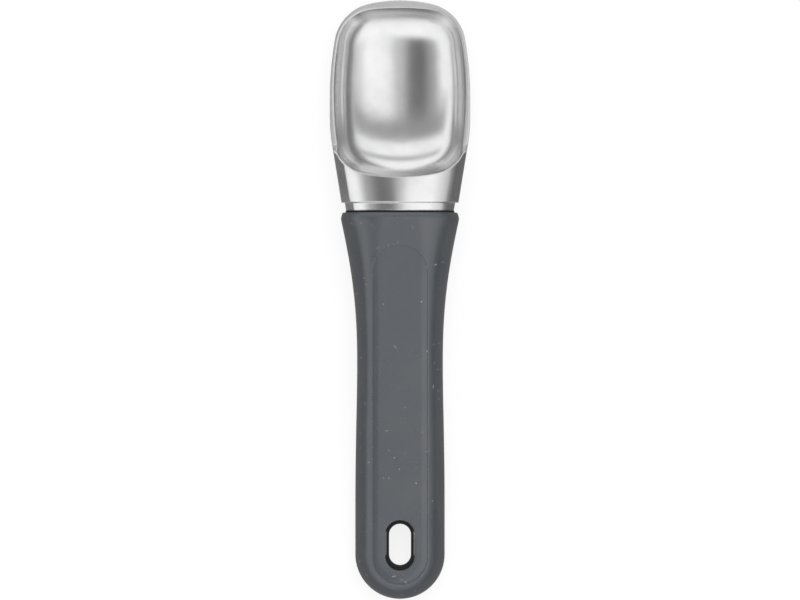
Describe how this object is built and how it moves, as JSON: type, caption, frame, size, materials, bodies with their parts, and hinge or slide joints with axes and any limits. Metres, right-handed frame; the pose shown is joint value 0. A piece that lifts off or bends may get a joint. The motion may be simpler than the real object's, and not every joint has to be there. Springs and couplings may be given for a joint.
{
  "type": "ice cream scoop",
  "caption": "Fixed-head ice cream scoop with a polished oval aluminium bowl, a two-layer plastic handle, a flat thumb pocket and a lined hang slot.",
  "frame": {"origin": "centre of the bounding box's underside: the plane that the scoop's back rests on", "axes": "+Y along the scoop from the handle's end to the bowl's tip, +Z out of the bowl's mouth, +X across"},
  "size_m": [0.0492, 0.21, 0.0311],
  "materials": {
    "polished_aluminium": "polished",
    "speckled_grey_plastic": "satin with light flecks",
    "black_plastic": "satin",
    "black_rubber": "matte",
    "tang_steel": "mill"
  },
  "bodies": {
    "root": {"scoop_head": "polished_aluminium", "neck_seal": "black_rubber", "grip_shell": "speckled_grey_plastic", "handle_core": "black_plastic", "slot_liner": "black_plastic", "tang_bar": "tang_steel", "tang_pins": "tang_steel"}
  },
  "joints": []
}
